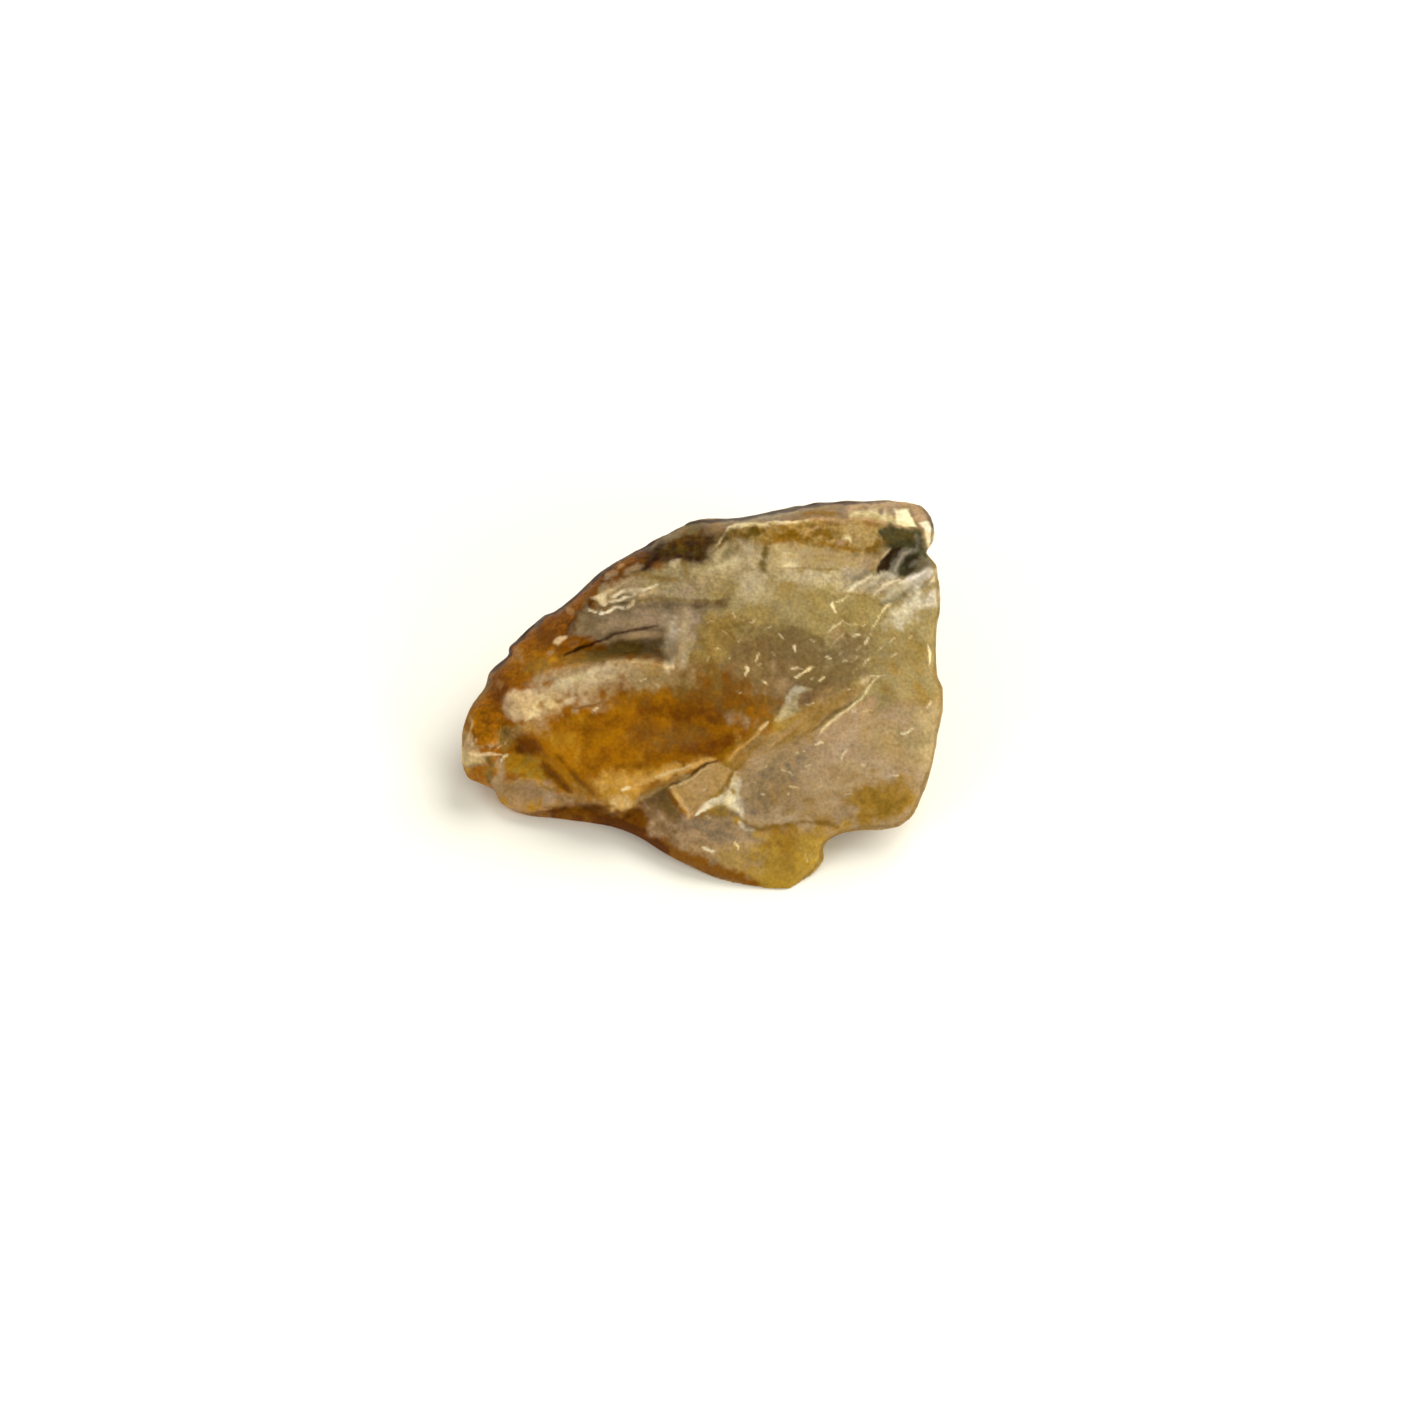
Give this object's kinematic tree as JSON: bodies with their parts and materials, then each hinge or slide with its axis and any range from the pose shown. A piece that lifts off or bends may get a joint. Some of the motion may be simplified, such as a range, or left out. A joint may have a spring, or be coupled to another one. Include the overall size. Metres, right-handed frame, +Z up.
{
  "type": "rough agate fragment",
  "caption": "Rough translucent agate fragment with shell-like fracture scars, stepped ledges and a raised lobe, lying on a flat underside.",
  "frame": {"origin": "on the flat underside, beneath the middle of the stone", "axes": "+Z up from the flat underside, +X along the stone's length from its narrow tip to its thick end, +Y from the low front edge to the high back"},
  "size_m": [0.0337, 0.0264, 0.0124],
  "materials": {
    "agate_stone": "translucent amber, olive, mauve-grey and milky chalcedony, waxy to vitreous on fresh breaks, dull rust on the weathered edge"
  },
  "bodies": {
    "root": {"agate": "agate_stone"}
  },
  "joints": []
}
